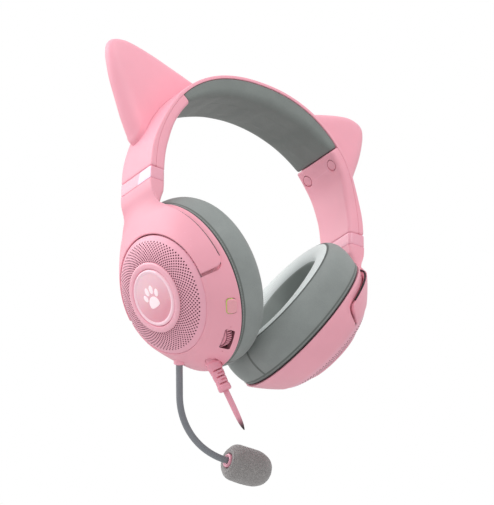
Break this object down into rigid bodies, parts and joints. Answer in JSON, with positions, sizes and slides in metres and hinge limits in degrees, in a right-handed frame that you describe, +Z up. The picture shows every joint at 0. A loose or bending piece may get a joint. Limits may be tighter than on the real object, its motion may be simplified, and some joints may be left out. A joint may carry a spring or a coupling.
{
  "type": "gaming headset",
  "caption": "Over-ear headset with a padded cat-eared headband, tilting cups on sliding yokes, and a boom microphone, mute button and volume wheel on the left cup.",
  "frame": {"origin": "middle of the flat under the headband pad, where a stand or the head carries it", "axes": "+Z up, the wearer faces -Y, +X is the wearer's left (the cup with the microphone)"},
  "size_m": [0.1824, 0.1058, 0.2395],
  "materials": {
    "pink_plastic": "satin moulded plastic",
    "gloss_pink": "polished plastic",
    "lens": "polished translucent plastic",
    "steel": "spring steel and screws",
    "leatherette": "padded leatherette over foam",
    "board": "circuit board",
    "dark_plastic": "dark moulded plastic",
    "scrim_cloth": "thin woven cloth",
    "boom_rubber": "flexible rubber-covered boom",
    "foam": "open foam",
    "cable_rubber": "soft moulded rubber"
  },
  "bodies": {
    "headband": {"headband_cover": "pink_plastic", "headband_spring": "steel", "headband_pad": "leatherette", "inner_cover_left": "pink_plastic", "inner_cover_right": "pink_plastic", "inner_cover_screws": "steel", "screw_caps": "pink_plastic", "crossover_cable": "dark_plastic", "ear_shell_left": "pink_plastic", "ear_shell_right": "pink_plastic", "ear_lens_left": "lens", "ear_lens_right": "lens", "ear_light_board_left": "board", "ear_light_board_right": "board"},
    "slider_left": {"slider_tongue_left": "steel", "slider_collar_left": "gloss_pink", "yoke_left": "pink_plastic", "yoke_screws_left": "steel", "pivot_pins_left": "steel"},
    "slider_right": {"slider_tongue_right": "steel", "slider_collar_right": "gloss_pink", "yoke_right": "pink_plastic", "yoke_screws_right": "steel", "pivot_pins_right": "steel"},
    "cup_left": {"housing_left": "pink_plastic", "grille_left": "pink_plastic", "medallion_ring_left": "pink_plastic", "medallion_lens_left": "lens", "light_board_left": "board", "driver_left": "dark_plastic", "baffle_left": "dark_plastic", "cushion_left": "leatherette", "scrim_left": "scrim_cloth", "baffle_screws_left": "steel", "control_board": "board", "strain_relief": "cable_rubber", "cable": "cable_rubber", "mic_socket": "dark_plastic"},
    "cup_right": {"housing_right": "pink_plastic", "grille_right": "pink_plastic", "medallion_ring_right": "pink_plastic", "medallion_lens_right": "lens", "light_board_right": "board", "driver_right": "dark_plastic", "baffle_right": "dark_plastic", "cushion_right": "leatherette", "scrim_right": "scrim_cloth", "baffle_screws_right": "steel"},
    "mute_button": {"mute_button": "pink_plastic"},
    "volume_wheel": {"volume_wheel": "pink_plastic"},
    "mic_boom": {"mic_boom": "boom_rubber"},
    "mic_tip": {"mic_tip": "boom_rubber", "mic_collar": "pink_plastic", "mic_capsule": "dark_plastic", "windscreen": "foam"}
  },
  "joints": [
    {"name": "slider_left", "type": "slide", "parent": "headband", "child": "slider_left", "axis": [0.1483, 0, -0.9889], "range_m": [0, 0.02]},
    {"name": "slider_right", "type": "slide", "parent": "headband", "child": "slider_right", "axis": [-0.1483, 0, -0.9889], "range_m": [0, 0.02]},
    {"name": "cup_tilt_left", "type": "hinge", "parent": "slider_left", "child": "cup_left", "pos_m": [0.05247, 0, -0.13335], "axis": [0, -1, 0], "range_deg": [0, 12]},
    {"name": "cup_tilt_right", "type": "hinge", "parent": "slider_right", "child": "cup_right", "pos_m": [-0.05247, 0, -0.13335], "axis": [0, 1, 0], "range_deg": [0, 12]},
    {"name": "mute_press", "type": "slide", "parent": "cup_left", "child": "mute_button", "axis": [0.2979, -0.8181, 0.4918], "range_m": [0, 0.0008], "stiffness_N_per_m": 300},
    {"name": "volume_spin", "type": "hinge", "parent": "cup_left", "child": "volume_wheel", "pos_m": [0.0293, 0.01698, -0.15945], "axis": [0.8554, 0, -0.518], "continuous": true},
    {"name": "mic_slide", "type": "slide", "parent": "cup_left", "child": "mic_boom", "axis": [0.4175, 0.592, 0.6894], "range_m": [0, 0.017]},
    {"name": "mic_bend", "type": "hinge", "parent": "mic_boom", "child": "mic_tip", "pos_m": [-0.0094, -0.04999, -0.19939], "axis": [-0.0646, -0.7374, 0.6724], "range_deg": [-15, 20]}
  ]
}
